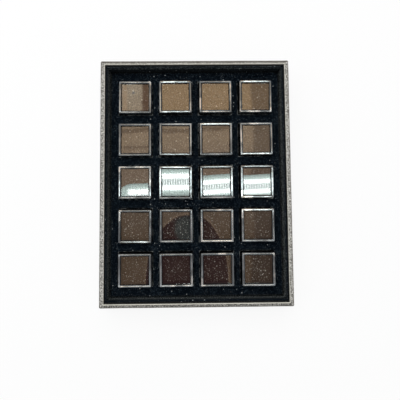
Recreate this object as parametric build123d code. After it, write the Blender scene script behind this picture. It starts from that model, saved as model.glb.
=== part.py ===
from build123d import *
import os

# A shallow open tray that holds small lidded display boxes in the pockets of a padded insert.
# Millimetres, +Z up, with the origin in the middle of the underside.
# Columns are counted along +X, and rows from the back of the tray, +Y, to the front.

# Boxes in the tray
columns = 4
rows = 5
box_side = 30.0

# Lid of a box: a pressed metal frame, a moulded ring inside it and a glass pane in the ring
skirt_height = 9.2
skirt_thickness = 0.6
bead_width = 1.9
bead_thickness = 1.0
bead_rounding = 0.75
lid_corner_radius = 0.8
ring_height = 2.4
ring_lip = 0.3
ring_ledge = 0.5
pane_thickness = 1.2
pane_recess = 0.1
pane_clearance = 0.1

# Base of a box: a moulded cup whose neck goes up inside the skirt, and a foam pad in the cup
shoulder_height = 7.6
shoulder_inset = 0.2
foot_chamfer = 0.5
neck_clearance = 0.35
neck_gap = 0.3
cup_wall = 1.1
cup_floor = 1.2
pad_height = 8.0
pad_clearance = 0.15
pad_top_rounding = 0.6

# Padded insert: a foam slab with a velvet skin, both cut through for the boxes
pocket_clearance = 0.8
web_between_columns = 6.25
web_between_rows = 8.65
side_margin = 8.3
end_margin = 10.15
insert_height = 10.4
velvet_thickness = 0.8
insert_rounding = 2.8
insert_corner_radius = 3.2
insert_gap = 0.6

# Velvet-covered liner boards that stand round the insert
liner_thickness = 1.6
liner_rounding = 0.7
liner_gap = 0.3
liner_below_rim = 0.5

# Tray shell: card boards in a grained covering that is turned over the rim and under the base
wall_thickness = 3.5
base_thickness = 2.5
floor_thickness = 1.0
floor_clearance = 0.1
wrap_thickness = 0.6
rim_above_boxes = 2.5
rim_rounding = 1.0
tray_corner_radius = 1.2
turn_down = 10.0
turn_under = 12.0
base_cover_proud = 0.2

# Sizes that follow from those above
box_height = shoulder_height + skirt_height
pocket_side = box_side + 2 * pocket_clearance
column_pitch = pocket_side + web_between_columns
row_pitch = pocket_side + web_between_rows

insert_x = (columns - 1) * column_pitch + pocket_side + 2 * side_margin
insert_y = (rows - 1) * row_pitch + pocket_side + 2 * end_margin
liner_inside_x = insert_x + 2 * insert_gap
liner_inside_y = insert_y + 2 * insert_gap
liner_outside_x = liner_inside_x + 2 * liner_thickness
liner_outside_y = liner_inside_y + 2 * liner_thickness
rim_inside_x = liner_outside_x + 2 * liner_gap
rim_inside_y = liner_outside_y + 2 * liner_gap
wall_inside_x = rim_inside_x + 2 * wrap_thickness
wall_inside_y = rim_inside_y + 2 * wrap_thickness
wall_outside_x = wall_inside_x + 2 * wall_thickness
wall_outside_y = wall_inside_y + 2 * wall_thickness
tray_x = wall_outside_x + 2 * wrap_thickness
tray_y = wall_outside_y + 2 * wrap_thickness

base_bottom = base_cover_proud + wrap_thickness
base_top = base_bottom + base_thickness
floor_top = base_top + floor_thickness
box_top = floor_top + box_height
rim_top = box_top + rim_above_boxes
wall_top = rim_top - wrap_thickness
liner_top = rim_top - liner_below_rim
insert_top = floor_top + insert_height
shell_corner_radius = tray_corner_radius - wrap_thickness
shell_rounding = rim_rounding - wrap_thickness


def slab(size_x, size_y, bottom, top):
    """A square-edged slab, centred on the Z axis."""
    return Pos(0, 0, bottom) * extrude(Rectangle(size_x, size_y), top - bottom)


def rounded_slab(size_x, size_y, bottom, top, corner_radius, top_rounding=0.0):
    """A slab with rounded upright corners, and a rounded top edge where one is asked for."""
    block = Pos(0, 0, bottom) * extrude(RectangleRounded(size_x, size_y, corner_radius), top - bottom)
    if top_rounding:
        block = fillet(block.faces().sort_by(Axis.Z)[-1].edges(), top_rounding)
    return block


def pocket_centres():
    """Where each box stands: its row and column, counted from 1, and its place in the tray."""
    for row in range(rows):
        for column in range(columns):
            x = (column - (columns - 1) / 2) * column_pitch
            y = ((rows - 1) / 2 - row) * row_pitch
            yield row + 1, column + 1, x, y


# Lid of a box, made where its box stands on z = 0

def lid_frame():
    """The polished metal frame: a square skirt, turned inwards at the top to a rounded bead."""
    bead_bottom = box_height - bead_thickness
    hollow_side = box_side - 2 * skirt_thickness
    window_side = box_side - 2 * bead_width
    frame = rounded_slab(box_side, box_side, shoulder_height, box_height, lid_corner_radius)
    frame -= slab(hollow_side, hollow_side, shoulder_height, bead_bottom)
    frame -= slab(window_side, window_side, bead_bottom, box_height)
    return fillet(frame.faces().sort_by(Axis.Z)[-1].edges(), bead_rounding)


def ring_window_side():
    """The opening in the ring's lip, which the pane fills."""
    return box_side - 2 * (bead_width + ring_lip)


def lid_ring():
    """The black ring in the skirt: its lip shows as a thin line, and its ledge carries the pane."""
    ring_top = box_height - bead_thickness
    ledge_top = ring_top - pane_recess - pane_thickness
    outside = box_side - 2 * skirt_thickness
    ledge_side = ring_window_side() - 2 * ring_ledge
    ring = slab(outside, outside, ring_top - ring_height, ring_top)
    ring -= slab(ring_window_side(), ring_window_side(), ledge_top, ring_top)
    ring -= slab(ledge_side, ledge_side, ring_top - ring_height, ledge_top)
    return ring


def lid_pane():
    """The clear glass window, lying on the ring's ledge."""
    pane_top = box_height - bead_thickness - pane_recess
    side = ring_window_side() - 2 * pane_clearance
    return slab(side, side, pane_top - pane_thickness, pane_top)


# Base of a box, standing on z = 0

def neck_side():
    """The outside of the cup's neck, which slides in the lid's skirt."""
    return box_side - 2 * (skirt_thickness + neck_clearance)


def base_cup():
    """The black moulded cup: the lid's skirt sits on its shoulder, round its neck."""
    neck_top = box_height - bead_thickness - ring_height - neck_gap
    shoulder_side = box_side - 2 * shoulder_inset
    inside = neck_side() - 2 * cup_wall
    cup = rounded_slab(shoulder_side, shoulder_side, 0, shoulder_height, lid_corner_radius)
    cup = chamfer(cup.faces().sort_by(Axis.Z)[0].edges(), foot_chamfer)
    cup += slab(neck_side(), neck_side(), shoulder_height, neck_top)
    cup -= slab(inside, inside, cup_floor, neck_top)
    return cup


def base_pad():
    """The foam pad that a specimen lies on, its top edge softly rounded."""
    side = neck_side() - 2 * (cup_wall + pad_clearance)
    pad = slab(side, side, cup_floor, cup_floor + pad_height)
    return fillet(pad.faces().sort_by(Axis.Z)[-1].edges(), pad_top_rounding)


# Padded insert

def pocket_cutters():
    """One upright block for each pocket, taller than the insert."""
    cutter = slab(pocket_side, pocket_side, floor_top, insert_top)
    return [Pos(x, y, 0) * cutter for row, column, x, y in pocket_centres()]


def insert_block(inset):
    """The insert's outer form, taken in all round its top and sides by a thickness."""
    return rounded_slab(
        insert_x - 2 * inset,
        insert_y - 2 * inset,
        floor_top,
        insert_top - inset,
        insert_corner_radius - inset,
        insert_rounding - inset,
    )


def insert_foam():
    """The foam slab, pierced by the pockets."""
    return insert_block(velvet_thickness) - pocket_cutters()


def insert_velvet():
    """The velvet skin over the foam's top and sides, cut through at the pockets."""
    return insert_block(0.0) - insert_block(velvet_thickness) - pocket_cutters()


# Tray shell

def shell_block():
    """The card shell's outer form, which the covering is stretched over."""
    return rounded_slab(
        wall_outside_x, wall_outside_y, base_bottom, wall_top, shell_corner_radius, shell_rounding
    )


def base_board():
    """The card base that the walls stand on."""
    return rounded_slab(wall_outside_x, wall_outside_y, base_bottom, base_top, shell_corner_radius)


def wall_ring():
    """The four walls as one ring, standing on the base."""
    ring = shell_block() - slab(wall_outside_x, wall_outside_y, base_bottom, base_top)
    return ring - slab(wall_inside_x, wall_inside_y, base_top, wall_top)


def side_wall(side):
    """A long wall, on the left where side is -1 and on the right where it is 1."""
    keep = Pos(side * wall_outside_x / 2, 0, 0) * slab(2 * wall_thickness, wall_outside_y, base_top, wall_top)
    return wall_ring() & keep


def end_wall(side):
    """A short wall that fits between the long ones, at the front where side is -1."""
    keep = Pos(0, side * wall_outside_y / 2, 0) * slab(wall_inside_x, 2 * wall_thickness, base_top, wall_top)
    return wall_ring() & keep


def outer_wrap():
    """The grained covering: down the outside, over the rim, and turned in behind the liner and under."""
    wrap = rounded_slab(tray_x, tray_y, base_cover_proud, rim_top, tray_corner_radius, rim_rounding)
    wrap -= slab(rim_inside_x, rim_inside_y, base_bottom, rim_top)
    wrap -= slab(wall_inside_x, wall_inside_y, base_bottom, rim_top - turn_down)
    wrap -= slab(tray_x - 2 * turn_under, tray_y - 2 * turn_under, base_cover_proud, base_bottom)
    return wrap - shell_block_without_hollow()


def shell_block_without_hollow():
    """The card that the covering lies on: the base with its four walls."""
    return shell_block() - slab(wall_inside_x, wall_inside_y, base_top, wall_top)


def base_cover():
    """The felt under the base, inside the turned-in covering and a little prouder than it."""
    return slab(tray_x - 2 * turn_under, tray_y - 2 * turn_under, 0, base_bottom)


def pocket_floor():
    """The black card that closes the pockets from below, lying on the base inside the liner."""
    return slab(
        liner_inside_x - 2 * floor_clearance, liner_inside_y - 2 * floor_clearance, base_top, floor_top
    )


def liner_board(length, along_y):
    """An upright liner board with a rounded top, centred on the Z axis."""
    size_x, size_y = (liner_thickness, length) if along_y else (length, liner_thickness)
    board = slab(size_x, size_y, base_top, liner_top)
    direction = Axis.Y if along_y else Axis.X
    top_edges = board.faces().sort_by(Axis.Z)[-1].edges().filter_by(direction)
    return fillet(top_edges, liner_rounding)


def side_liner(side):
    """A long liner board, on the left where side is -1."""
    middle = side * (liner_inside_x + liner_thickness) / 2
    return Pos(middle, 0, 0) * liner_board(liner_outside_y, along_y=True)


def end_liner(side):
    """A short liner board between the long ones, at the front where side is -1."""
    middle = side * (liner_inside_y + liner_thickness) / 2
    return Pos(0, middle, 0) * liner_board(liner_inside_x, along_y=False)


def tray_parts():
    """Every piece of the tray by name."""
    return {
        "base_cover": base_cover(),
        "base_board": base_board(),
        "wall_left": side_wall(-1),
        "wall_right": side_wall(1),
        "wall_front": end_wall(-1),
        "wall_back": end_wall(1),
        "outer_wrap": outer_wrap(),
        "liner_left": side_liner(-1),
        "liner_right": side_liner(1),
        "liner_front": end_liner(-1),
        "liner_back": end_liner(1),
        "pocket_floor": pocket_floor(),
        "insert_foam": insert_foam(),
        "insert_velvet": insert_velvet(),
    }


def box_parts():
    """The base and the lid of every box by name, each standing in its pocket."""
    base = [base_cup(), base_pad()]
    lid = [lid_frame(), lid_ring(), lid_pane()]
    parts = {}
    for row, column, x, y in pocket_centres():
        place = Pos(x, y, floor_top)
        parts[f"box_base_r{row}c{column}"] = Compound([place * piece for piece in base])
        parts[f"box_lid_r{row}c{column}"] = Compound([place * piece for piece in lid])
    return parts


os.makedirs("parts", exist_ok=True)
for name, shape in {**tray_parts(), **box_parts()}.items():
    export_step(shape, f"parts/{name}.step")

print(f"tray {tray_x:.2f} x {tray_y:.2f} x {rim_top:.2f} mm")
print(f"pitch {column_pitch:.2f} x {row_pitch:.2f} mm, boxes stand {box_top - insert_top:.2f} mm proud")
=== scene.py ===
import math
import random

import bpy
from mathutils import Euler, Matrix, Vector, noise


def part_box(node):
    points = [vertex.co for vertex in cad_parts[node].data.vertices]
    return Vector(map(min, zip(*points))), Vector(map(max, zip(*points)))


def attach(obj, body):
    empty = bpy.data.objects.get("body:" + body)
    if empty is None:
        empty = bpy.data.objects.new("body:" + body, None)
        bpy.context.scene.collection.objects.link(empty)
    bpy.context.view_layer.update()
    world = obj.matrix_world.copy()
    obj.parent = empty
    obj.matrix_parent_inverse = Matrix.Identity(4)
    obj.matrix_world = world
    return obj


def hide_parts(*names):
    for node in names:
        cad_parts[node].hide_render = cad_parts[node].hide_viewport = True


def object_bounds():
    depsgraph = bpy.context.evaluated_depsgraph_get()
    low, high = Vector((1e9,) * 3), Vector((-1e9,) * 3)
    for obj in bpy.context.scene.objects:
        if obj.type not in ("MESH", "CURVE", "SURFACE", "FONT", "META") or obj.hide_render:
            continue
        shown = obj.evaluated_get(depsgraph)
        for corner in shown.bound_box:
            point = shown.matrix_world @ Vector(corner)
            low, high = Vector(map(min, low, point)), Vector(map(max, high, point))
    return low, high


# A display tray lined with black velvet that holds twenty small square boxes with glass lids.
# Metres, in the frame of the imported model: +Z up, columns along +X, rows from the back, +Y, to the front.

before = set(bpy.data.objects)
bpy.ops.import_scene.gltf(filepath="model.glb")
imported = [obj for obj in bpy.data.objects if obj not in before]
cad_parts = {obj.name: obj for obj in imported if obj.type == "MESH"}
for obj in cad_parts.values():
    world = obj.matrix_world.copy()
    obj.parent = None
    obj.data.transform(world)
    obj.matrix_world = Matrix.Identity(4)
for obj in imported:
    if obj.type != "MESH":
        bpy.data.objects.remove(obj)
cad_low, cad_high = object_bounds()

MM = 0.001
BOX_NAMES = sorted(name.removeprefix("box_base_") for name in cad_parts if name.startswith("box_base_"))

# Box pieces
BEAD_WIDTH = 1.65 * MM
BEAD_THICKNESS = 1.0 * MM
BEAD_DROP = 0.45 * MM
SKIRT_THICKNESS = 0.6 * MM
SKIRT_EDGE = 0.15 * MM
LID_CORNER_RADIUS = 0.8 * MM
MITRE_WIDTH = 0.10 * MM
MITRE_DEPTH = 0.06 * MM
RING_LIP = 0.55 * MM
LIP_INSET = BEAD_WIDTH + RING_LIP
RING_RISE = 0.6 * MM
RING_LEDGE = 0.5 * MM
RING_HEIGHT = 2.4 * MM
RING_CHAMFER = 0.1 * MM
RING_CLEARANCE = 0.02 * MM
RING_CORNER_RADIUS = 0.2 * MM
PANE_THICKNESS = 1.2 * MM
PANE_RECESS = 0.1 * MM
PANE_CLEARANCE = 0.1 * MM
PANE_BEVEL = 0.12 * MM
NECK_CLEARANCE = 0.35 * MM
NECK_INSET = SKIRT_THICKNESS + NECK_CLEARANCE
NECK_CHAMFER = 0.2 * MM
SHOULDER_CHAMFER = 0.15 * MM
FOOT_CHAMFER = 0.5 * MM
CUP_WALL = 1.1 * MM
CAVITY_INSET = NECK_INSET + CUP_WALL
CUP_FLOOR = 1.2 * MM
CUP_CORNER_RADIUS = LID_CORNER_RADIUS + 0.4 * MM
PAD_HEIGHT = 8.0 * MM
PAD_CLEARANCE = 0.15 * MM
PAD_ROUNDING = 1.4 * MM
PAD_CROWN = 0.35 * MM
PAD_LUMPS = 0.10 * MM
PAD_WAIST = 0.012
SMALLEST_RADIUS = 0.12 * MM

# Insert, liner, covering and felt
VELVET_THICKNESS = 0.8 * MM
POCKET_CLEARANCE = 0.8 * MM
INSERT_ROUNDING = 1.9 * MM
VELVET_TUCK = 0.35 * MM
TUCK_WIDTH = 0.9 * MM
VELVET_SWELL = 0.16 * MM
VELVET_RIPPLE = 0.06 * MM
BEND_SAVING = 0.6 * MM
FOAM_SINK = 0.5 * MM
LINER_ROUNDING = 0.8 * MM
LINER_SWAY = 0.10 * MM
COVERING_THICKNESS = 0.6 * MM
COVERING_BEHIND_LINER = 0.3 * MM
RIM_ROUNDING = 1.0 * MM
RIM_INNER_ROUNDING = 0.7 * MM
RIM_CROWN = 0.10 * MM
FOOT_ROUNDING = 0.8 * MM
TRAY_CORNER_RADIUS = 1.2 * MM
TURN_DOWN = 10.0 * MM
TURN_UNDER = 12.0 * MM
FOLD_DEPTH = 0.22 * MM
FOLD_WIDTH = 0.32 * MM
FOLD_REACH = 7.0 * MM
TIGHTEST_FOLD = 0.25 * MM
PLEAT_HEIGHT = 0.10 * MM
PLEAT_WIDTH = 0.35 * MM
PLEAT_REACH = 9.0 * MM
RIM_DEPTH = 2.5 * MM
COVERING_SWAY = 0.10 * MM
FELT_FRAY = 0.18 * MM

# Where each liner board gets painted sheen: on its top, a share at the middle and how that grows towards
# the inner side, and on its inner face the full painted sheen between two depths in millimetres
TOP_SHEEN = {"left": (0.1, 0.9), "right": (0.1, 0.9), "front": (0.1, -0.9), "back": (0.4, 0.0)}
FACE_SHEEN = {"left": (2.0, math.inf), "right": (2.0, math.inf), "front": (4.0, math.inf), "back": (0.0, 2.8)}
SHEEN_REACH = 1.0 * MM

# How far boxes stand off true: tips about X and turns in degrees, twists and crowns of the panes per metre,
# and shifts, with one to the front right that all of them share
LID_TIPS = {"r3c1": -0.8, "r3c2": 0.93, "r3c3": 0.10, "r3c4": -0.04}
PANE_TWISTS = {"r3c1": 0.0, "r3c2": -0.03, "r3c3": 0.11, "r3c4": 0.07}
PANE_CROWNS = {"r3c3": 0.35, "r3c4": 0.42}
LOOSE_TIP = 0.3
LOOSE_TURN = 0.35
LOOSE_TWIST = 0.1
LOOSE_SHIFT = 0.15 * MM
BOX_DRIFT = (0.35 * MM, -0.30 * MM)

# How beads are pressed: the slope that any of them may lean by, the slope of each side that is pressed
# flatter, positive where it faces +Y or +X, what share of the crown such a side loses, and how far it sinks
BEAD_LEAN = 0.11
FLAT_BEADS = {
    "r1c2": {"back": -0.22, "front": -0.16},
    "r1c4": {"back": -0.22},
    "r2c2": {"front": -0.07},
    "r2c3": {"back": -0.14},
    "r2c4": {"front": -0.07},
    "r3c2": {"back": -0.03, "left": 0.0, "right": 0.0},
    "r3c3": {"back": -0.045, "left": 0.0, "right": 0.0},
    "r3c4": {"back": -0.045, "front": 0.02, "left": 0.0, "right": 0.0},
    "r4c1": {"front": 0.10},
    "r4c4": {"back": 0.05},
}
FLATTENING = 0.88
FLAT_SINK = 0.10 * MM
FLAT_RUN_OUT = 1.5 * MM
BEAD_SWAY = 0.05 * MM
BEAD_WAVE = 0.04 * MM

# Camera, as the photograph was taken, from straight above and a little to the front
CAMERA_PLACE = (-0.0012, -0.0186, 0.3170)
CAMERA_TURN = (3.12, -0.53, -0.52)
CAMERA_LENS = 28.8
CAMERA_SHIFT = (0.0060, -0.039)

# Light
CARD_HEIGHT = 0.92
LAMP_HEIGHT = 0.90
CARD_SIZE = (0.80, 0.92)
CARD_MIDDLE = (0.0, 0.06)
LAMP_MIDDLE = (0.055, 0.030)
LAMP_SIZE = (0.66, 0.104)
LAMP_TURN = 1.5
LAMP_RIB = 0.0093
SKY_LIGHT = 0.58
SOFTBOX_SIZE = 1.3
SOFTBOX_DISTANCE = 1.5

# Meshing: lines closer together than the first are one, the others count cells across a rounded edge and
# round an upright corner, and two lengths that agree to the last share are taken as equal
CLOSEST_LINES = 0.06 * MM
EDGE_LINES = 6
CORNER_STEPS = 6
NEARLY = 0.999


# Meshes

def make_piece(name, vertices, faces, smooth_angle=35):
    """A new object from points and faces, smooth except along edges sharper than an angle."""
    mesh = bpy.data.meshes.new(name)
    mesh.from_pydata([tuple(v) for v in vertices], [], faces)
    mesh.validate()
    mesh.shade_smooth()
    mesh.set_sharp_from_angle(angle=math.radians(smooth_angle))
    piece = bpy.data.objects.new(name, mesh)
    bpy.context.scene.collection.objects.link(piece)
    return piece


def dress(piece, finish, body, node):
    """Gives a piece its material and body, and hides the CAD node that it stands for."""
    piece.data.materials.append(MATERIALS[finish])
    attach(piece, body)
    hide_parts(node)


def mark_points(piece, attribute, values):
    """Keeps one value for each point of a piece, for its material to read."""
    piece.data.attributes.new(attribute, "FLOAT", "POINT").data.foreach_set("value", values)


def rounded_ring(half_x, half_y, radius, z, corner_steps, side_steps):
    """Points round a rectangle with rounded corners, counter-clockwise, with as many for any size."""
    signs = ((1, 1), (-1, 1), (-1, -1), (1, -1))
    corners = []
    for quarter, (sign_x, sign_y) in enumerate(signs):
        centre = Vector((sign_x * (half_x - radius), sign_y * (half_y - radius), z))
        arc = []
        for step in range(corner_steps + 1):
            angle = (quarter + step / corner_steps) * math.pi / 2
            arc.append(centre + radius * Vector((math.cos(angle), math.sin(angle), 0)))
        corners.append(arc)
    points = []
    for quarter, arc in enumerate(corners):
        points += arc
        start, end = arc[-1], corners[(quarter + 1) % 4][0]
        points += [start.lerp(end, step / side_steps) for step in range(1, side_steps)]
    return points


def section_arc(inset, z, radius, start, end, steps):
    """Points of (inset, height) on an arc, between angles in degrees from the outer side upwards."""
    points = []
    for k in range(steps + 1):
        angle = math.radians(start + (end - start) * k / steps)
        points.append((inset - radius * math.cos(angle), z + radius * math.sin(angle)))
    return points


def loft(rings, closed=False, capped=False):
    """Points and faces of a skin through rings that have as many points each."""
    count = len(rings[0])
    vertices = [point for ring in rings for point in ring]
    faces = []
    pairs = [(k, k + 1) for k in range(len(rings) - 1)]
    if closed:
        pairs.append((len(rings) - 1, 0))
    for low, high in pairs:
        for k in range(count):
            after = (k + 1) % count
            faces.append((low * count + k, low * count + after, high * count + after, high * count + k))
    if capped:
        faces.append(tuple(reversed(range(count))))
        faces.append(tuple(range((len(rings) - 1) * count, len(rings) * count)))
    return vertices, faces


def stations(breaks, step, fine_ends=0.0):
    """Places along a line that hit every break, about one step apart, closer at its two ends."""
    places = [breaks[0]]
    for start, end in zip(breaks, breaks[1:]):
        steps = max(1, round((end - start) / step))
        places += [start + (end - start) * k / steps for k in range(1, steps + 1)]
    if fine_ends:
        low, high = breaks[0], breaks[-1]
        extra = [fine_ends * k / EDGE_LINES for k in range(1, EDGE_LINES + 1)]
        places += [low + e for e in extra] + [high - e for e in extra]
    places.sort()
    kept = [places[0]]
    for place in places[1:]:
        apart = place - kept[-1] > CLOSEST_LINES
        if place in breaks and not apart and len(kept) > 1:
            kept.pop()
        if place in breaks or apart:
            kept.append(place)
    return kept


def lattice_block(xs, ys, zs, holes=(), bottom=True):
    """Points and faces of a block's surface on a lattice, pierced by upright square holes."""
    def in_hole(i, j):
        x, y = (xs[i] + xs[i + 1]) / 2, (ys[j] + ys[j + 1]) / 2
        return any(x0 < x < x1 and y0 < y < y1 for x0, x1, y0, y1 in holes)

    filled = {(i, j) for i in range(len(xs) - 1) for j in range(len(ys) - 1) if not in_hole(i, j)}
    index, vertices, faces = {}, [], []

    def corner(i, j, k):
        key = (i, j, k)
        if key not in index:
            index[key] = len(vertices)
            vertices.append(Vector((xs[i], ys[j], zs[k])))
        return index[key]

    top = len(zs) - 1
    for i, j in sorted(filled):
        cell = ((i, j), (i + 1, j), (i + 1, j + 1), (i, j + 1))
        faces.append(tuple(corner(*place, top) for place in cell))
        if bottom:
            faces.append(tuple(corner(*place, 0) for place in (cell[0], cell[3], cell[2], cell[1])))
        beside = ((i, j - 1), (i + 1, j), (i, j + 1), (i - 1, j))
        for (m, n), a, b in zip(beside, cell, cell[1:] + cell[:1]):
            outside = not (0 <= m < len(xs) - 1 and 0 <= n < len(ys) - 1)
            if (m, n) not in filled and (bottom or outside):
                for k in range(top):
                    faces.append((corner(*a, k), corner(*b, k), corner(*b, k + 1), corner(*a, k + 1)))
    return vertices, faces


def round_off(vertices, low, high, radius, round_bottom=False):
    """Rolls the edges and corners of a block's outer faces, and of its bottom if asked."""
    rolled = []
    for point in vertices:
        core = Vector((
            min(max(point.x, low.x + radius), high.x - radius),
            min(max(point.y, low.y + radius), high.y - radius),
            min(max(point.z, low.z + radius if round_bottom else low.z), high.z - radius),
        ))
        away = point - core
        if max(abs(away.x), abs(away.y), abs(away.z)) > radius * NEARLY:
            point = core + away.normalized() * radius
        rolled.append(point)
    return rolled


def wander(point, size, seed=0.0):
    """Smooth noise from -1 to 1 with features about one size across."""
    return noise.noise(point / size + Vector((seed, seed * 0.7, seed * 1.3)))


def bump(distance, width):
    """1 at no distance, falling off smoothly over a width."""
    return math.exp(-((distance / width) ** 2))


# Materials

class Field:
    """A number, colour or place that varies over a material, for use in sums as if it were a number."""

    def __init__(self, tree, socket):
        self.tree = tree
        self.socket = socket

    def __add__(self, other):
        return calc("ADD", self, other)

    def __sub__(self, other):
        return calc("SUBTRACT", self, other)

    def __mul__(self, other):
        return calc("MULTIPLY", self, other)

    def __truediv__(self, other):
        return calc("DIVIDE", self, other)

    def __abs__(self):
        return calc("ABSOLUTE", self)


def add(tree, kind, inputs=None, **settings):
    """A node with its settings, its inputs set or linked."""
    made = tree.nodes.new(kind)
    for name, value in settings.items():
        setattr(made, name, value)
    for name, value in (inputs or {}).items():
        if isinstance(value, Field):
            tree.links.new(value.socket, made.inputs[name])
        else:
            made.inputs[name].default_value = value
    return made


def field(tree, kind, output, inputs=None, **settings):
    """What one output of a new node gives."""
    return Field(tree, add(tree, kind, inputs, **settings).outputs[output])


def calc(operation, a, b=0.0):
    """A sum of a field and another field or a number."""
    return field(a.tree, "ShaderNodeMath", 0, {0: a, 1: b}, operation=operation)


def calc_places(operation, a, b, output="Vector"):
    """A sum of a field of places and another place."""
    return field(a.tree, "ShaderNodeVectorMath", output, {0: a, 1: b}, operation=operation)


def larger(a, b):
    """The larger of two fields."""
    return calc("MAXIMUM", a, b)


def axes(place):
    """The X, Y and Z of a field of places."""
    outputs = add(place.tree, "ShaderNodeSeparateXYZ", {0: place}).outputs
    return [Field(place.tree, output) for output in outputs]


def spread(value, low, high, out_low=0.0, out_high=1.0):
    """Stretches the part of a field from low to high to another range, and clips the rest."""
    inputs = {"Value": value, "From Min": low, "From Max": high, "To Min": out_low, "To Max": out_high}
    return field(value.tree, "ShaderNodeMapRange", "Result", inputs, interpolation_type="SMOOTHSTEP")


def spread_evenly(value, low, high):
    """A field from low to high as a share from 0 to 1."""
    inputs = {"Value": value, "From Min": low, "From Max": high}
    return field(value.tree, "ShaderNodeMapRange", "Result", inputs)


def mix(share, a, b):
    """A colour between two."""
    inputs = {0: share}
    for position, colour in ((6, a), (7, b)):
        inputs[position] = colour if isinstance(colour, Field) else (*colour, 1.0)
    return field(share.tree, "ShaderNodeMix", 2, inputs, data_type="RGBA", clamp_factor=True)


def ramp(value, *stops):
    """A colour that passes smoothly through stops of (value, colour), with values from 0 to 1."""
    made = add(value.tree, "ShaderNodeValToRGB", {"Fac": value})
    scale = made.color_ramp
    scale.interpolation = "EASE"
    while len(scale.elements) < len(stops):
        scale.elements.new(0.5)
    for element, (position, colour) in zip(scale.elements, stops):
        element.position = position
        element.color = (*colour, 1.0)
    return Field(value.tree, made.outputs["Color"])


def grain(at, size, detail=2.0, roughness=0.5, seed=0.0):
    """Noise from 0 to 1 with features about one size across."""
    moved = calc_places("ADD", at, (seed, seed * 0.6, seed * 0.3))
    inputs = {"Vector": moved, "Scale": 1 / size, "Detail": detail, "Roughness": roughness}
    return field(at.tree, "ShaderNodeTexNoise", 0, inputs)


def cells(at, size, feature="F1"):
    """A cell pattern with cells about one size across."""
    inputs = {"Vector": at, "Scale": 1 / size}
    return field(at.tree, "ShaderNodeTexVoronoi", "Distance", inputs, feature=feature)


def specks(at, spacing, radius, share, seed=0.0):
    """1 inside small round flecks, scattered about one spacing apart, and kept in a share of places."""
    inputs = {"Vector": calc_places("ADD", at, (seed, seed, seed)), "Scale": 1 / spacing}
    texture = add(at.tree, "ShaderNodeTexVoronoi", inputs)
    inside = spread(Field(at.tree, texture.outputs["Distance"]), radius / spacing, 0.6 * radius / spacing)
    chance = field(at.tree, "ShaderNodeSeparateColor", 0, {"Color": Field(at.tree, texture.outputs["Color"])})
    return inside * calc("LESS_THAN", chance, share)


def mark(at, attribute):
    """The value that a piece keeps for each of its points."""
    return field(at.tree, "ShaderNodeAttribute", "Fac", attribute_name=attribute)


def new_material(name, **values):
    """A material, its Principled shader with plain values on its own inputs, and a field of places."""
    material = bpy.data.materials.new(name)
    material.use_nodes = True
    shader = material.node_tree.nodes["Principled BSDF"]
    for key, value in values.items():
        shader.inputs[key.replace("_", " ")].default_value = value
    return material, shader, field(material.node_tree, "ShaderNodeTexCoord", "Object")


def feed(shader, **fields):
    """Links fields to a shader's inputs."""
    for key, value in fields.items():
        value.tree.links.new(value.socket, shader.inputs[key.replace("_", " ")])


def relief(shader, height, depth, strength=1.0):
    """Bumps of a real depth on the shader's surface."""
    inputs = {"Height": height, "Distance": depth, "Strength": strength}
    feed(shader, Normal=field(height.tree, "ShaderNodeBump", "Normal", inputs))


def overlay(share, shader, other):
    """Lets another shader take a share of a material's surface."""
    tree = share.tree
    inputs = {0: share, 1: Field(tree, shader.outputs[0]), 2: Field(tree, other.outputs[0])}
    feed(tree.nodes["Material Output"], Surface=field(tree, "ShaderNodeMixShader", 0, inputs))


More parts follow.
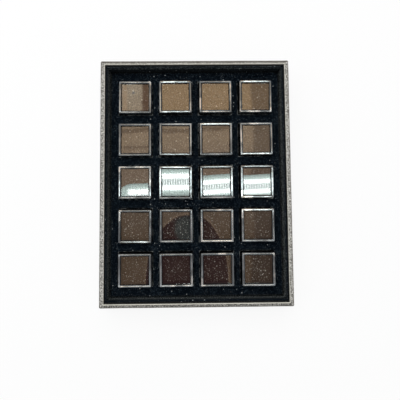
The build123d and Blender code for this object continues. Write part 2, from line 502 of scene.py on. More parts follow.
def covering_material(half_x, half_y, height):
    """Silver-grey grained covering: mottled, with a painted highlight along the rim's inner edge, and painted
    shade along its outer edge and down in the gap where it turns in.
    """
    material, shader, at = new_material("grained_covering", Specular_IOR_Level=0.35)
    x, y, z = axes(at)
    from_side = abs(x) - half_x
    from_end = abs(y) - half_y
    on_end = spread(from_end - from_side, -0.5 * MM, 0.5 * MM)
    on_front = on_end * spread(y, 20.0 * MM, -20.0 * MM)
    on_back = on_end - on_front
    waver = (grain(at, 5.0 * MM, 3.0) - 0.5) * (2.0 * MM)

    # Grain, with a darker, more worn one along the front and an even one down the outer sides
    mottle = spread(grain(at, 1.3 * MM, 4.0, 0.7), 0.43, 0.57)
    fine = spread(grain(at, 0.8 * MM, 3.0, 0.6, seed=0.11), 0.35, 0.65)
    creases = spread(cells(at, 1.5 * MM, "DISTANCE_TO_EDGE"), 0.22, 0.0)
    clean = mix(mottle, (0.14, 0.134, 0.118), (0.78, 0.76, 0.71))
    worn = mix(mottle, (0.035, 0.033, 0.029), (0.42, 0.41, 0.38))
    body = mix(on_front, mix(on_back * 0.3, clean, (0.22, 0.20, 0.185)), worn)
    down_side = spread(z, height - 1.0 * MM, height - 2.4 * MM, 0.0, 0.65)
    body = mix(down_side, body, (0.33, 0.318, 0.285))
    body = mix(fine * 0.30, body, (0.28, 0.27, 0.25))
    body = mix(creases * 0.5, body, (0.07, 0.065, 0.055))
    blots = spread(grain(at, 2.4 * MM, 3.0, 0.7, seed=0.37), 0.55, 0.63)
    body = mix(blots * spread(on_front, 0.0, 1.0, 0.12, 0.8), body, (0.03, 0.028, 0.024))

    # Across the rim: a painted highlight along the inner edge, wide at the back and faint at the sides, and
    # painted shade on the outer edge and in the gap where the covering turns down
    across = larger(from_side - 0.4 * MM, from_end - 0.8 * MM)
    # Painted highlight along the rim's inner rounded edge
    painted_highlight = spread(across - on_back * (0.5 * MM) + waver * 0.15, -3.65 * MM, -3.9 * MM)
    highlight_share = spread(on_end, 0.0, 1.0, 0.35, 0.85) - on_back * 0.42
    body = mix(painted_highlight * highlight_share, body, (0.78, 0.76, 0.66))
    # Painted shade on the rim's outer rounded edge, wider at the back
    near_top = spread(z, height - 2.0 * MM, height - 1.0 * MM, 0.0, 0.75)
    painted_edge_shade = spread(larger(from_side, from_end) + waver + on_back * (1.3 * MM), -1.4 * MM, -0.2 * MM)
    body = mix(painted_edge_shade * near_top, body, (0.085, 0.073, 0.058))
    # Painted shade, near black, down in the gap where the covering turns in behind the liner
    gap_shade = spread(across, -4.45 * MM, -4.60 * MM)
    body = mix(gap_shade, body, (0.010, 0.010, 0.010))
    feed(shader, Base_Color=body, Roughness=spread(mottle, 0.0, 1.0, 0.62, 0.42))
    relief(shader, fine * 0.5 - creases, 0.12 * MM, 0.8)
    return material


def velvet_material(name, lift, speckle):
    """Short black pile, blue-black from above and paler seen along it, with lint, painted sheen where a piece
    marks it, and frayed threads at cut edges with a painted highlight.
    """
    material, shader, at = new_material(
        name,
        Roughness=0.95,
        Specular_IOR_Level=0.02,
        Sheen_Weight=lift,
        Sheen_Roughness=0.42,
        Sheen_Tint=(0.86, 0.90, 0.80, 1.0),
    )
    nap = spread(grain(at, 9.0 * MM, 3.0), 0.35, 0.65)
    pile = spread(grain(at, 1.0 * MM, 3.0, 0.65, seed=0.2), 0.53, 0.63)
    colour = mix(nap, (0.0008, 0.0024, 0.0050), (0.0022, 0.0044, 0.0078))
    colour = mix(pile * speckle, colour, (0.028, 0.041, 0.053))
    # Painted sheen, in flecks, where a piece marks its pile
    sheen_flecks = spread(grain(at, 1.1 * MM, 3.0, 0.65, seed=0.8), 0.50, 0.58)
    colour = mix(mark(at, "painted_sheen") * sheen_flecks, colour, (0.145, 0.158, 0.155))
    dust = specks(at, 2.2 * MM, 0.50 * MM, 0.6, seed=0.31)
    colour = mix(dust * 0.8, colour, (0.085, 0.095, 0.098))
    colour = mix(specks(at, 5.0 * MM, 0.60 * MM, 0.5), colour, (0.34, 0.36, 0.36))
    # Paler frayed threads at the pockets' cut edges, with a painted highlight where they catch the light
    fray_and_glint = spread(mark(at, "cut_edge"), 0.50, 0.80)
    threads = spread(grain(at, 5.0 * MM, 4.0, 0.7, seed=0.5), 0.49, 0.58)
    feed(shader, Base_Color=mix(fray_and_glint * threads, colour, (0.200, 0.212, 0.206)))
    relief(shader, pile + nap, 0.15 * MM, 0.6)
    return material


def felt_material():
    """Short matted black felt."""
    material, shader, at = new_material("base_felt", Roughness=0.9, Specular_IOR_Level=0.15, Sheen_Weight=0.3)
    matted = spread(grain(at, 0.8 * MM, 5.0, 0.7), 0.3, 0.7)
    feed(shader, Base_Color=mix(matted, (0.012, 0.012, 0.013), (0.032, 0.032, 0.034)))
    relief(shader, matted, 0.2 * MM)
    return material


def foam_material(name, dark, light, fleck, fleck_share):
    """Closed-cell foam: fine pores, and lint that clings to it, most towards the front."""
    material, shader, at = new_material(name, Specular_IOR_Level=0.1, Sheen_Weight=0.05, Sheen_Roughness=0.5)
    pores = spread(cells(at, 0.45 * MM), 0.15, 0.6)
    cloud = spread(grain(at, 9.0 * MM, 3.0), 0.35, 0.65)
    fine = grain(at, 0.7 * MM, 3.0, 0.6, seed=0.4)
    body = mix(cloud * 0.6 + fine * 0.5, dark, light)
    body = mix(pores * 0.35, body, tuple(0.55 * c for c in dark))
    dust = specks(at, 1.6 * MM, 0.50 * MM, min(1.0, 2 * fleck_share), seed=0.21)
    body = mix(dust * 0.35, body, fleck)
    grit = specks(at, 2.3 * MM, 0.52 * MM, 1.2 * fleck_share, seed=0.57)
    body = mix(grit * spread(axes(at)[1], 0.0, -30.0 * MM, 0.0, 0.8), body, fleck)
    lint = specks(at, 4.0 * MM, 0.66 * MM, fleck_share)
    feed(shader, Base_Color=mix(lint, body, fleck), Roughness=spread(fine, 0.3, 0.7, 0.65, 0.85))
    relief(shader, fine - pores * 0.4, 0.12 * MM, 0.7)
    return material


def board_material(name, dark, light):
    """Pressed card with faint fibres."""
    material, shader, at = new_material(name, Specular_IOR_Level=0.2)
    stretched = calc_places("MULTIPLY", at, (1.0, 0.25, 1.0))
    fibres = spread(grain(stretched, 0.6 * MM, 4.0, 0.6), 0.3, 0.7)
    feed(shader, Base_Color=mix(fibres, dark, light), Roughness=spread(fibres, 0.0, 1.0, 0.9, 0.75))
    relief(shader, fibres, 0.05 * MM)
    return material


def metal_material():
    """Plated sheet metal, handled: a polished bead with smudges and fine scratches, and a duller skirt."""
    material, shader, at = new_material("polished_metal", Metallic=1.0)
    smudge = spread(grain(at, 3.0 * MM, 4.0, 0.6), 0.35, 0.7)
    plating = spread(grain(at, 18.0 * MM, 2.0, seed=0.15), 0.42, 0.60)
    scratched = calc_places("MULTIPLY", at, (1.0, 0.06, 1.0))
    lines = spread(grain(scratched, 0.12 * MM, 2.0, 0.5, seed=0.7), 0.58, 0.7)
    bright = spread(grain(at, 22.0 * MM, 1.0, seed=0.63), 0.62, 0.68)
    clean = mix(plating, (0.235, 0.257, 0.272), (0.54, 0.580, 0.605))
    clean = mix(bright, clean, (0.92, 0.92, 0.90))
    facing = axes(field(at.tree, "ShaderNodeNewGeometry", "Normal"))[2]
    upright = spread(abs(facing), 0.30, 0.10)
    worn = spread(smudge, 0.0, 1.0, 0.12, 0.22) + lines * 0.08
    feed(shader, Base_Color=mix(smudge * 0.45, clean, (0.22, 0.225, 0.23)), Roughness=worn + upright * 0.08)
    relief(shader, lines + smudge, 0.004 * MM, 0.3)
    return material


def plastic_material(name, dark, light, roughness, gloss):
    """Moulded black plastic with a fine spark-eroded skin."""
    material, shader, at = new_material(name, Specular_IOR_Level=gloss)
    cloud = spread(grain(at, 6.0 * MM, 3.0, seed=0.9), 0.35, 0.65)
    rough = spread(cloud, 0.0, 1.0, roughness, roughness + 0.15)
    feed(shader, Base_Color=mix(cloud, dark, light), Roughness=rough)
    relief(shader, grain(at, 0.25 * MM, 2.0, 0.6), 0.02 * MM, 0.6)
    return material


def glass_material():
    """Clear glass that lets lamps through, with faint waves in its polish."""
    material, shader, at = new_material(
        "clear_glass",
        Base_Color=(0.97, 0.985, 0.98, 1.0),
        Roughness=0.0,
        IOR=2.0,
        Transmission_Weight=1.0,
    )
    relief(shader, grain(at, 14.0 * MM, 1.0), 0.01 * MM, 0.25)
    clear = add(at.tree, "ShaderNodeBsdfTransparent", {"Color": (0.92, 0.94, 0.93, 1.0)})
    overlay(field(at.tree, "ShaderNodeLightPath", "Is Shadow Ray"), shader, clear)
    return material


def floor_material():
    """Pale studio paper, which the camera, metal and glass see nearly white, with the tray's shadow on it."""
    material, shader, at = new_material("floor_paper", Roughness=0.9, Specular_IOR_Level=0.1)
    feed(shader, Base_Color=mix(grain(at, 0.35, 3.0), (0.93, 0.93, 0.93), (0.95, 0.95, 0.95)))
    white = add(at.tree, "ShaderNodeEmission", {"Color": (1.0, 1.0, 1.0, 1.0), "Strength": 1.0})
    rays = add(at.tree, "ShaderNodeLightPath").outputs
    names = ("Is Camera Ray", "Is Glossy Ray", "Is Transmission Ray")
    camera, glossy, through = [Field(at.tree, rays[name]) for name in names]
    overlay(larger(camera, larger(glossy, through)) * 0.86, shader, white)
    return material


MATERIALS = {
    "covering": covering_material(cad_high.x, cad_high.y, cad_high.z),
    "velvet": velvet_material("black_velvet", 0.06, 0.90),
    "liner": velvet_material("liner_velvet", 0.04, 0.40),
    "felt": felt_material(),
    "foam": foam_material("black_foam", (0.010, 0.010, 0.012), (0.022, 0.022, 0.024), (0.1, 0.1, 0.1), 0.12),
    # The pads' warm dark brown is partly painted reflection of the warm ceiling; the foam itself is nearly
    # black
    "pad": foam_material("specimen_pad", (0.03, 0.021, 0.017), (0.058, 0.043, 0.035), (0.86, 0.83, 0.78), 0.5),
    "grey_board": board_material("grey_board", (0.26, 0.24, 0.215), (0.38, 0.36, 0.33)),
    "black_card": board_material("black_card", (0.008, 0.008, 0.009), (0.018, 0.018, 0.020)),
    "metal": metal_material(),
    "ring": plastic_material("ring_plastic", (0.004, 0.004, 0.005), (0.008, 0.008, 0.009), 0.50, 0.2),
    "cup": plastic_material("cup_plastic", (0.010, 0.010, 0.011), (0.020, 0.020, 0.021), 0.42, 0.4),
    "glass": glass_material(),
}


# Tray

def covering_shape(point, high):
    """Puts life in the covering: a mitre fold across each corner, and boards that aren't dead flat."""
    to_corner_x = abs(point.x - math.copysign(high.x, point.x))
    to_corner_y = abs(point.y - math.copysign(high.y, point.y))
    past_mitre = to_corner_x - to_corner_y
    near = max(to_corner_x, to_corner_y)
    on_top = max(0.0, 1 - (high.z - point.z) / RIM_DEPTH)
    fold = bump(abs(past_mitre) / math.sqrt(2), FOLD_WIDTH) if near < FOLD_REACH else 0.0
    pleat = 0.5 * (1 + math.tanh(past_mitre / PLEAT_WIDTH)) * bump(near, PLEAT_REACH)
    moved = point.copy()
    moved.z += on_top * (-FOLD_DEPTH * fold + PLEAT_HEIGHT * pleat)
    moved.z += on_top * COVERING_SWAY * wander(point, 9 * MM)
    moved.x += COVERING_SWAY * wander(point, 22 * MM, 3.0)
    moved.y += COVERING_SWAY * wander(point, 22 * MM, 5.0)
    return moved


def covering_profile(bottom, top, inner):
    """The covering in section, as insets from the tray's side and heights."""
    thick = COVERING_THICKNESS
    # From the turned-in edge below, up the outside and over the rim
    profile = [(TURN_UNDER, bottom), (TURN_UNDER / 2, bottom)]
    profile += section_arc(FOOT_ROUNDING, bottom + FOOT_ROUNDING, FOOT_ROUNDING, -90, 0, 4)
    profile += [(0.0, bottom + share * (top - bottom)) for share in (0.2, 0.4, 0.6, 0.8)]
    profile += section_arc(RIM_ROUNDING, top - RIM_ROUNDING, RIM_ROUNDING, 0, 90, 6)
    flat = inner - RIM_ROUNDING - RIM_INNER_ROUNDING
    for share in (0.25, 0.5, 0.75):
        profile.append((RIM_ROUNDING + share * flat, top + RIM_CROWN * math.sin(math.pi * share)))
    inner_radius = RIM_INNER_ROUNDING
    profile += section_arc(inner - inner_radius, top - inner_radius, inner_radius, 90, 180, 5)
    # Down to the lower edge inside, and back the same way one thickness in
    profile += [
        (inner, top - TURN_DOWN),
        (inner - thick, top - TURN_DOWN),
        (inner - thick, top - inner_radius - thick),
        (inner - 2 * thick, top - thick),
        (RIM_ROUNDING + thick, top - thick),
        (thick, top - RIM_ROUNDING - thick),
        (thick, bottom + FOOT_ROUNDING),
        (2 * thick, bottom + thick),
        (TURN_UNDER, bottom + thick),
    ]
    return profile


def make_covering():
    """The grained covering: up the outside, over the rim, down behind the liner and turned in below."""
    low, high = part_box("outer_wrap")
    inner = high.x - abs(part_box("liner_left")[0].x) - COVERING_BEHIND_LINER
    rings = []
    for inset, z in covering_profile(low.z, high.z, inner):
        radius = max(TRAY_CORNER_RADIUS - inset, TIGHTEST_FOLD)
        ring = rounded_ring(high.x - inset, high.y - inset, radius, z, CORNER_STEPS, 90)
        rings.append([covering_shape(point, high) for point in ring])
    piece = make_piece("covering", *loft(rings, closed=True), smooth_angle=50)
    dress(piece, "covering", "tray", "outer_wrap")


def pocket_boxes():
    """The four edges of each pocket, from the boxes that stand in them."""
    for name in BOX_NAMES:
        low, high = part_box("box_lid_" + name)
        gap = POCKET_CLEARANCE
        yield low.x - gap, high.x + gap, low.y - gap, high.y + gap


def insert_lines(low, high, step):
    """Lattice lines of the insert: they hit the pockets' edges and crowd at its outer edges."""
    holes = list(pocket_boxes())
    xs = sorted({low.x, high.x, *(round(h[k], 6) for h in holes for k in (0, 1))})
    ys = sorted({low.y, high.y, *(round(h[k], 6) for h in holes for k in (2, 3))})
    return stations(xs, step, INSERT_ROUNDING), stations(ys, step, INSERT_ROUNDING), holes


def tuck(point, holes):
    """How much the velvet dips where it rolls over a pocket's cut edge, from 0 to 1."""
    nearest = math.inf
    for x0, x1, y0, y1 in holes:
        away_x = max(x0 - point.x, point.x - x1, 0.0)
        away_y = max(y0 - point.y, point.y - y1, 0.0)
        nearest = min(nearest, math.hypot(away_x, away_y))
    return bump(nearest, TUCK_WIDTH)


def rolled_edge_sheen(point, low, high):
    """How much painted sheen the skin's rolled outer edge gets, from 0 to 0.5, with none at the back, which
    lies in shade.
    """
    from_edge = min(point.x - low.x, high.x - point.x, point.y - low.y)
    return 0.5 * min(1.0, max(0.0, 1.6 - from_edge / SHEEN_REACH))


def make_velvet():
    """The velvet skin stretched over the insert, cut through at the pockets."""
    low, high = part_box("insert_velvet")
    xs, ys, holes = insert_lines(low, high, 1.5 * MM)
    zs = stations([low.z, high.z], 2.0 * MM, INSERT_ROUNDING)
    vertices, faces = lattice_block(xs, ys, zs, holes, bottom=False)
    rolled = round_off(vertices, low, high, INSERT_ROUNDING)
    shaped, tucks = [], []
    for flat, point in zip(vertices, rolled):
        on_top = high.z - flat.z < 1e-7
        tucks.append(tuck(point, holes) if on_top else 0.0)
        if on_top:
            point = point - Vector((0, 0, VELVET_TUCK * tucks[-1]))
            swell = VELVET_SWELL * wander(point, 14 * MM) + VELVET_RIPPLE * wander(point, 4 * MM, 2.0)
            point = point + Vector((0, 0, min(0.0, swell - VELVET_SWELL / 2)))
        shaped.append(point)
    piece = make_piece("velvet_skin", shaped, faces, smooth_angle=60)
    mark_points(piece, "cut_edge", tucks)
    # Painted sheen along the skin's rolled outer edge
    mark_points(piece, "painted_sheen", [rolled_edge_sheen(point, low, high) for point in rolled])
    shell = piece.modifiers.new("thickness", "SOLIDIFY")
    shell.thickness = VELVET_THICKNESS
    shell.offset = -1
    side = high.z - low.z - BEND_SAVING
    width, length = high.x - low.x + 2 * side, high.y - low.y + 2 * side
    area = width * length - 4 * side * side - sum((x1 - x0) * (y1 - y0) for x0, x1, y0, y1 in holes)
    dress(piece, "velvet", "tray", "insert_velvet")


def make_foam():
    """The foam slab under the velvet, pierced by the pockets."""
    low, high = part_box("insert_foam")
    xs, ys, holes = insert_lines(low, high, 4.0 * MM)
    vertices, faces = lattice_block(xs, ys, stations([low.z, high.z], 2.5 * MM), holes)
    rolled = round_off(vertices, low, high, INSERT_ROUNDING - VELVET_THICKNESS)
    sunk = [point - Vector((0, 0, FOAM_SINK * (point.z - low.z) / (high.z - low.z))) for point in rolled]
    piece = make_piece("foam_slab", sunk, faces, smooth_angle=40)
    dress(piece, "foam", "tray", "insert_foam")


def liner_sheen(side, inward_share, depth):
    """How much painted sheen a liner gets, from 0 to 1: along its top, and in a band on its inner face."""
    if depth < SHEEN_REACH:
        share, slant = TOP_SHEEN[side]
        return min(0.5, max(0.0, share + slant * inward_share)) * (1 - depth / SHEEN_REACH)
    start, end = FACE_SHEEN[side]
    return 1.0 if inward_share > 0.49 and start * MM < depth < end * MM else 0.0


def make_liner(side):
    """A velvet-covered liner board: rounded along its top and a little uneven, with painted sheen along its
    top and on its inner face.
    """
    node = "liner_" + side
    low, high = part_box(node)
    along_y = side in ("left", "right")
    length = (high.y - low.y) if along_y else (high.x - low.x)
    thick = (high.x - low.x) if along_y else (high.y - low.y)
    middle = (low + high) / 2
    outer = -thick / 2
    section = [(outer, low.z)]
    section += [(outer, high.z - depth * MM) for depth in (5.0, 3.2, 2.4, 1.6)]
    section += section_arc(outer + LINER_ROUNDING, high.z - LINER_ROUNDING, LINER_ROUNDING, 0, 90, 4)
    section += [(-across, z) for across, z in reversed(section)]
    inward = -math.copysign(1, middle.x if along_y else middle.y)
    order = 1 if along_y else -1
    rings, sheen_marks = [], []
    steps = round(length / (1.5 * MM))
    for k in range(steps + 1):
        run = length * k / steps - length / 2
        ring = []
        for across, z in section:
            flat = Vector((across, run, z)) if along_y else Vector((run, across, z))
            point = Vector((middle.x + flat.x, middle.y + flat.y, z))
            sway = LINER_SWAY * ((z - low.z) / (high.z - low.z))
            point.z -= sway * (0.5 + 0.5 * wander(point, 5 * MM, 7.0))
            nudge = sway * wander(point, 11 * MM, 4.0)
            ring.append(point + Vector((nudge, 0, 0) if along_y else (0, nudge, 0)))
        # Painted sheen along the liner's top and on its inner face
        lift = [liner_sheen(side, across * inward / thick, high.z - z) for across, z in section]
        rings.append(ring[::order])
        sheen_marks += lift[::order]
    piece = make_piece("liner_board_" + side, *loft(rings, capped=True), smooth_angle=50)
    mark_points(piece, "painted_sheen", sheen_marks)
    dress(piece, "liner", "tray", node)


def make_felt():
    """The felt glued under the base."""
    low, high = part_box("base_cover")
    xs = stations([low.x, high.x], 6 * MM, 0.6 * MM)
    ys = stations([low.y, high.y], 6 * MM, 0.6 * MM)
    vertices, faces = lattice_block(xs, ys, [low.z, (low.z + high.z) / 2, high.z])
    shaped = []
    for point in vertices:
        if min(point.x - low.x, high.x - point.x, point.y - low.y, high.y - point.y) < 0.01 * MM:
            fray = FELT_FRAY * (1 + wander(point, 3 * MM))
            x, y = [place - math.copysign(fray, place) for place in point.xy]
            point = Vector((x, y, point.z))
        shaped.append(point)
    piece = make_piece("base_felt", shaped, faces)
    dress(piece, "felt", "tray", "base_cover")


# Boxes

def lofted_square(profile, side, corner_radius, closed, side_steps=6, shape=None):
    """A square piece about the Z axis from a profile of (inset from the side, height)."""
    rings = []
    for inset, z in profile:
        radius = max(corner_radius - inset, SMALLEST_RADIUS)
        ring = rounded_ring(side / 2 - inset, side / 2 - inset, radius, z, CORNER_STEPS, side_steps)
        rings.append([shape(point) for point in ring] if shape else ring)
    return loft(rings, closed, capped=not closed)


def make_cup(name, stand):
    """The moulded cup: a foot, a shoulder that the lid's skirt stands on, and a neck inside the skirt."""
    low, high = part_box("box_base_" + name)
    lid_low, lid_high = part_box("box_lid_" + name)
    side = lid_high.x - lid_low.x
    shoulder_inset = (side - (high.x - low.x)) / 2
    outline = [
        (shoulder_inset + FOOT_CHAMFER, low.z),
        (shoulder_inset, low.z + FOOT_CHAMFER),
        (shoulder_inset, lid_low.z - SHOULDER_CHAMFER),
        (shoulder_inset + SHOULDER_CHAMFER, lid_low.z),
        (NECK_INSET, lid_low.z),
        (NECK_INSET, high.z - NECK_CHAMFER),
        (NECK_INSET + NECK_CHAMFER, high.z),
        (CAVITY_INSET - NECK_CHAMFER, high.z),
        (CAVITY_INSET, high.z - NECK_CHAMFER),
        (CAVITY_INSET, low.z + CUP_FLOOR),
    ]
    vertices, faces = lofted_square(outline, side, CUP_CORNER_RADIUS, closed=False)
    cup = make_piece("cup_" + name, [stand @ v for v in vertices], faces)
    dress(cup, "cup", "box_" + name, "box_base_" + name)


def make_pad(name, stand):
    """The foam pad in a cup: rolled edges, a soft crown, sides that draw in a little, and lumps."""
    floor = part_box("box_base_" + name)[0].z + CUP_FLOOR
    lid_low, lid_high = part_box("box_lid_" + name)
    half = (lid_high.x - lid_low.x) / 2 - CAVITY_INSET - PAD_CLEARANCE
    low = Vector((-half, -half, floor))
    high = Vector((half, half, floor + PAD_HEIGHT))
    lines = stations([-half, half], 1.3 * MM, PAD_ROUNDING)
    vertices, faces = lattice_block(lines, lines, stations([low.z, high.z], 1.6 * MM, PAD_ROUNDING))
    shaped = []
    for point in round_off(vertices, low, high, PAD_ROUNDING):
        rise = (point.z - low.z) / PAD_HEIGHT
        crown = (1 - (point.x / half) ** 2) * (1 - (point.y / half) ** 2)
        lumps = wander(stand @ point, 5 * MM)
        point = point + Vector((0, 0, rise * (PAD_CROWN * (crown - 1) + PAD_LUMPS * (lumps - 1))))
        waist = 1 - PAD_WAIST * math.sin(math.pi * min(rise, 1.0))
        shaped.append(stand @ Vector((point.x * waist, point.y * waist, point.z)))
    pad = make_piece("pad_" + name, shaped, faces, smooth_angle=60)
    dress(pad, "pad", "box_" + name, "box_base_" + name)


def side_of(point):
    """The side of a box that a point lies on."""
    if abs(point.x) > abs(point.y):
        return "right" if point.x > 0 else "left"
    return "back" if point.y > 0 else "front"


def pressed(point, side, top, leans, flat_leans, seed):
    """Lets the bead sway and lean, pressed flatter on some sides, with a line across each mitred corner."""
    here = side_of(point)
    along = abs(abs(point.x) - abs(point.y))
    sway = BEAD_SWAY * wander(point, 6 * MM, seed)
    wave = BEAD_WAVE * wander(point, 2.5 * MM, seed + 1)
    from_ridge = side / 2 - max(abs(point.x), abs(point.y)) - BEAD_WIDTH / 2
    on_bead = max(0.0, 1 - (top - point.z) / BEAD_THICKNESS)
    rise = on_bead * leans[here] * from_ridge
    if here in flat_leans and (top - point.z) * NEARLY < BEAD_DROP:
        outward = -1 if here in ("left", "front") else 1
        flattened = FLATTENING * (top - point.z) - FLAT_SINK + flat_leans[here] * outward * from_ridge
        rise += min(1.0, along / FLAT_RUN_OUT) * (flattened - rise)
    return point + Vector((sway, sway, wave - MITRE_DEPTH * bump(along, MITRE_WIDTH) + rise))


def frame_profile(bottom, top):
    """The metal frame in section: skirt, rolled edge, crowned bead and the inside."""
    bead_bottom = top - BEAD_THICKNESS
    profile = [(0.0, bottom), (0.0, bottom + SKIRT_EDGE), (0.0, (bottom + top) / 2), (0.0, bead_bottom)]
    steps = 10
    for k in range(steps + 1):
        angle = math.pi * k / steps
        inset = BEAD_WIDTH / 2 * (1 - math.cos(angle))
        profile.append((inset, top - BEAD_DROP + BEAD_DROP * math.sin(angle)))
    profile += [(BEAD_WIDTH, bead_bottom), (SKIRT_THICKNESS, bead_bottom), (SKIRT_THICKNESS, bottom)]
    return profile


def make_frame(name, sit):
    """The metal frame of a lid, skirt and bead in one."""
    low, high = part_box("box_lid_" + name)
    side = high.x - low.x
    dice = random.Random("frame" + name)
    seed = dice.uniform(0, 50)
    leans = {here: dice.uniform(-BEAD_LEAN, BEAD_LEAN) for here in ("front", "back", "left", "right")}
    flat_leans = FLAT_BEADS.get(name, {})
    vertices, faces = lofted_square(
        frame_profile(low.z, high.z), side, LID_CORNER_RADIUS, closed=True, side_steps=18,
        shape=lambda point: pressed(point, side, high.z, leans, flat_leans, seed),
    )
    metal = make_piece("frame_" + name, [sit @ v for v in vertices], faces, smooth_angle=40)
    dress(metal, "metal", "lid_" + name, "box_lid_" + name)


def make_ring(name, sit):
    """The black ring inside a lid's frame, with a raised lip round the pane and a ledge under it."""
    low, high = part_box("box_lid_" + name)
    top = high.z - BEAD_THICKNESS
    bottom = top - RING_HEIGHT
    ledge_top = top - PANE_RECESS - PANE_THICKNESS
    lip_top = top + RING_RISE
    lip_start = BEAD_WIDTH + RING_CLEARANCE
    section = [
        (SKIRT_THICKNESS, bottom),
        (SKIRT_THICKNESS, top),
        (lip_start, top),
        (lip_start, lip_top),
        (LIP_INSET - RING_CHAMFER, lip_top),
        (LIP_INSET, lip_top - RING_CHAMFER),
        (LIP_INSET, ledge_top),
        (LIP_INSET + RING_LEDGE, ledge_top),
        (LIP_INSET + RING_LEDGE, bottom),
    ]
    vertices, faces = lofted_square(section, high.x - low.x, RING_CORNER_RADIUS, closed=True)
    ring = make_piece("ring_" + name, [sit @ v for v in vertices], faces)
    dress(ring, "ring", "lid_" + name, "box_lid_" + name)


def make_pane(name, sit):
    """The glass pane of a lid: bevelled, and a touch twisted or crowned."""
    lid_low, lid_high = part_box("box_lid_" + name)
    half = (lid_high.x - lid_low.x) / 2 - LIP_INSET - PANE_CLEARANCE
    top = lid_high.z - BEAD_THICKNESS - PANE_RECESS
    low = Vector((-half, -half, top - PANE_THICKNESS))
    high = Vector((half, half, top))
    inner = stations([-half + 2 * MM, half - 2 * MM], 3 * MM)
    lines = [-half, -half + PANE_BEVEL, *inner, half - PANE_BEVEL, half]
    vertices, faces = lattice_block(lines, lines, [low.z, low.z + PANE_BEVEL, high.z - PANE_BEVEL, high.z])
    twist = PANE_TWISTS.get(name, random.Random("pane" + name).uniform(-LOOSE_TWIST, LOOSE_TWIST))
    crown = PANE_CROWNS.get(name, 0.0)
    warped = []
    for point in round_off(vertices, low, high, PANE_BEVEL, round_bottom=True):
        rise = twist * point.x * point.y - crown * point.y ** 2 / 2
        warped.append(sit @ (point + Vector((0, 0, rise))))
    pane = make_piece("glass_" + name, warped, faces, smooth_angle=15)
    dress(pane, "glass", "lid_" + name, "box_lid_" + name)


def place_of_box(name):
    """Where one box stands in its pocket: a shift and a turn that all its pieces share."""
    low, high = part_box("box_lid_" + name)
    dice = random.Random("box" + name)
    shift = [drift + dice.uniform(-LOOSE_SHIFT, LOOSE_SHIFT) for drift in BOX_DRIFT]
    turn = math.radians(dice.uniform(-LOOSE_TURN, LOOSE_TURN))
    place = Vector(((low.x + high.x) / 2, (low.y + high.y) / 2, 0)) + Vector((*shift, 0))
    return Matrix.Translation(place) @ Matrix.Rotation(turn, 4, "Z")


def place_of_lid(name, stand):
    """Where a lid sits on its box: tipped about the foot of its skirt, and raised by what the tip needs."""
    low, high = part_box("box_lid_" + name)
    dice = random.Random("lid" + name)
    tip_x = math.radians(LID_TIPS.get(name, dice.uniform(-LOOSE_TIP, LOOSE_TIP)))
    tip_y = math.radians(dice.uniform(-LOOSE_TIP, LOOSE_TIP))
    lift = (abs(tip_x) + abs(tip_y)) * (high.x - low.x) / 2
    foot = Vector((0, 0, low.z))
    raised = stand @ Matrix.Translation(foot + Vector((0, 0, lift)))
    return raised @ Euler((tip_x, tip_y, 0)).to_matrix().to_4x4() @ Matrix.Translation(-foot)


def make_box(name):
    """All five pieces of one box."""
    stand = place_of_box(name)
    make_cup(name, stand)
    make_pad(name, stand)
    sit = place_of_lid(name, stand)
    make_frame(name, sit)
    make_ring(name, sit)
    make_pane(name, sit)


def dress_hidden_boards():
    """Materials for the card pieces, which keep the shape that they have in the frame."""
    for node in ("base_board", "wall_left", "wall_right", "wall_front", "wall_back", "pocket_floor"):
        finish = "black_card" if node == "pocket_floor" else "grey_board"
        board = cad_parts[node]
        board.data.materials.clear()
        board.data.materials.append(MATERIALS[finish])


# Studio

def make_floor():
    """A pale paper floor under the tray."""
    half = 2.5
    level = cad_low.z - 0.02 * MM
    corners = [(-half, -half, level), (half, -half, level), (half, half, level), (-half, half, level)]
    floor = make_piece("floor", corners, [(0, 1, 2, 3)])
    floor.data.materials.append(floor_material())


def glowing_material(name, colour_at):
    """A material that only shines, in a colour worked out from its field of places."""
    material = bpy.data.materials.new(name)
    material.use_nodes = True
    tree = material.node_tree
    tree.nodes.clear()
    colour = colour_at(field(tree, "ShaderNodeTexCoord", "Object"))
    glow = field(tree, "ShaderNodeEmission", 0, {"Color": colour})
    add(tree, "ShaderNodeOutputMaterial", {"Surface": glow})
    return material


def streak(along, across, place, width, start, end):
    """1 on a thin soft line across a card, from one end to the other."""
    line = spread(abs(across - place), width, 0.3 * width)
    return line * (spread(along, start, start + 0.01) * spread(along, end, end - 0.01))


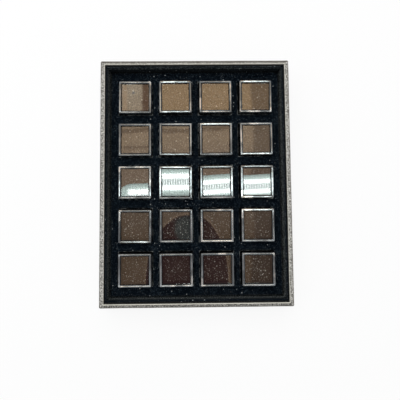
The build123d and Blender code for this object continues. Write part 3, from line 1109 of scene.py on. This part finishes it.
def ceiling_colour(at):
    """A warm boarded ceiling, lighter towards the back."""
    x, y = axes(at)[:2]
    colour = ramp(
        spread_evenly(y, -CARD_SIZE[1] / 2, CARD_SIZE[1] / 2),
        (0.00, (0.28, 0.185, 0.125)),
        (0.25, (0.31, 0.21, 0.14)),
        (0.42, (0.46, 0.34, 0.25)),
        (0.56, (0.80, 0.59, 0.43)),
        (0.68, (1.08, 0.80, 0.54)),
        (0.88, (1.38, 1.12, 0.82)),
    )
    cloud = spread(grain(at, 0.06, 5.0, 0.65), 0.3, 0.7, 0.0, 0.22)
    colour = mix(cloud, colour, (0.30, 0.20, 0.14))
    waver = (grain(at, 0.15, 2.0) - 0.5) * 0.03

    # Joints between the boards, a warmer corner with a post and a bright stripe, and a small fitting
    joints = streak(x, y + waver, 0.295, 0.010, -0.20, 0.40)
    joints = larger(joints, streak(x, y + waver, 0.188, 0.012, -0.30, 0.16))
    joints = larger(joints, streak(x, y + waver, 0.127, 0.007, -0.28, -0.17))
    colour = mix(joints * 0.45, colour, (0.22, 0.13, 0.09))
    warm = spread(x, -0.20, -0.13) * spread(y, 0.20, 0.28)
    colour = mix(warm * 0.85, colour, (1.13, 0.75, 0.41))
    colour = mix(streak(y, x, -0.179, 0.019, 0.22, 0.45) * 0.85, colour, (0.34, 0.18, 0.11))
    colour = mix(streak(y, x, -0.257, 0.012, 0.22, 0.45) * 0.35, colour, (1.60, 1.02, 0.60))
    from_fitting = calc_places("DISTANCE", at, (-0.225, 0.330, 0.0), "Value")
    colour = mix(spread(from_fitting, 0.008, 0.003, 0.0, 0.7), colour, (0.45, 0.52, 0.58))
    shade = mix(spread(y, -0.32, 0.10), (0.085, 0.060, 0.056), (0.33, 0.24, 0.18))
    colour = mix(spread(x + waver, 0.205, 0.222, 0.0, 0.62), colour, shade)

    # A dark patch in front of the lamp, with a thin paler outline
    patch_x = (x + 0.03) / 0.150
    patch_y = (y + 0.36) / 0.242
    away = patch_x * patch_x + patch_y * patch_y + waver * 6.0
    outline = spread(abs(away - 1.03), 0.035, 0.012)
    colour = mix(outline * 0.40, colour, (0.90, 0.64, 0.46))
    from_cool_spot = calc_places("DISTANCE", at, (-0.035, -0.168, 0.0), "Value")
    cool = spread(from_cool_spot + waver, 0.055, 0.035)
    return mix(spread(away, 1.01, 0.96), colour, mix(cool, (0.095, 0.046, 0.046), (0.115, 0.135, 0.135)))


def lamp_colour(at):
    """A ribbed diffuser with two bright tubes behind it."""
    x, y = axes(at)[:2]
    end = -LAMP_SIZE[0] / 2
    from_middle = abs(y / (LAMP_SIZE[1] / 2))
    ribs = calc("SINE", x * (2 * math.pi / LAMP_RIB))
    shell = mix(spread_evenly(from_middle, 1.0, 0.60), (1.05, 1.30, 1.22), (3.0, 3.65, 3.45))
    shell = mix(spread(ribs, -1.0, 1.0, 0.0, 0.15), shell, (0.5, 0.6, 0.6))
    shell = mix(spread(x, end + 0.060, end + 0.020, 0.0, 0.45), shell, (0.9, 1.1, 1.05))
    between = mix(spread(ribs, -1.0, 1.0), (2.0, 2.35, 2.3), (4.6, 5.0, 4.9))
    lit = spread(x, end + 0.028, end + 0.045)
    colour = mix(spread(from_middle, 0.44, 0.38) * lit, shell, between)
    tube = spread(abs(from_middle - 0.42) + ribs * 0.05, 0.20, 0.13)
    return mix(tube * lit, colour, (6.0, 6.3, 6.2))


def make_ceiling():
    """A warm card and a long lamp over the tray, which only its glass and metal show."""
    half_x, half_y = CARD_SIZE[0] / 2, CARD_SIZE[1] / 2
    corners = [(-half_x, -half_y, 0), (-half_x, half_y, 0), (half_x, half_y, 0), (half_x, -half_y, 0)]
    card = make_piece("ceiling_card", corners, [(0, 1, 2, 3)])
    card.data.materials.append(glowing_material("ceiling", ceiling_colour))
    card.location = (*CARD_MIDDLE, CARD_HEIGHT)
    ring = rounded_ring(LAMP_SIZE[0] / 2, LAMP_SIZE[1] / 2, LAMP_SIZE[1] / 2.1, 0, 8, 2)
    lamp = make_piece("lamp", ring, [tuple(reversed(range(len(ring))))])
    lamp.data.materials.append(glowing_material("lamp", lamp_colour))
    lamp.location = (*LAMP_MIDDLE, LAMP_HEIGHT)
    lamp.rotation_euler = (0, 0, math.radians(LAMP_TURN))
    for panel in (card, lamp):
        panel.visible_camera = False
        panel.visible_diffuse = False
        panel.visible_shadow = False


def add_softbox(name, azimuth, elevation, power, colour):
    """A large soft lamp aimed at the tray from a compass direction, which glass and metal don't show."""
    light = bpy.data.lights.new(name, "AREA")
    light.shape = "SQUARE"
    light.size = SOFTBOX_SIZE
    light.energy = power
    light.color = colour
    lamp = bpy.data.objects.new(name, light)
    a, e = math.radians(azimuth), math.radians(elevation)
    away = Vector((math.sin(a) * math.cos(e), math.cos(a) * math.cos(e), math.sin(e)))
    lamp.location = away * SOFTBOX_DISTANCE
    lamp.rotation_euler = (-away).to_track_quat("-Z", "Y").to_euler()
    lamp.visible_glossy = False
    lamp.visible_transmission = False
    bpy.context.scene.collection.objects.link(lamp)


def light_studio():
    """Soft neutral light from all round, white at the horizon, with large lamps at the back and the left."""
    world = bpy.data.worlds.new("studio")
    bpy.context.scene.world = world
    world.use_nodes = True
    sky = world.node_tree.nodes["Background"]
    sky.inputs["Color"].default_value = (0.98, 0.99, 1.0, 1.0)
    upward = axes(field(world.node_tree, "ShaderNodeTexCoord", "Generated"))[2]
    feed(sky, Strength=spread(upward, 0.12, 0.40, 1.0, SKY_LIGHT))
    add_softbox("soft_back", -8, 48, 11.0, (1.0, 0.985, 0.96))
    add_softbox("soft_left", -80, 36, 4.4, (0.90, 0.95, 1.0))


def make_camera():
    """The camera where the photograph was taken from."""
    data = bpy.data.cameras.new("camera")
    data.lens = CAMERA_LENS
    data.sensor_width = 36.0
    data.shift_x, data.shift_y = CAMERA_SHIFT
    data.clip_start = 0.01
    camera = bpy.data.objects.new("camera", data)
    camera.location = CAMERA_PLACE
    camera.rotation_euler = [math.radians(angle) for angle in CAMERA_TURN]
    bpy.context.scene.collection.objects.link(camera)
    bpy.context.scene.camera = camera


make_camera()
make_covering()
make_foam()
make_velvet()
for board_side in ("left", "right", "front", "back"):
    make_liner(board_side)
make_felt()
for box_name in BOX_NAMES:
    make_box(box_name)
dress_hidden_boards()
make_floor()
make_ceiling()
light_studio()
bpy.context.scene.view_settings.view_transform = "Standard"
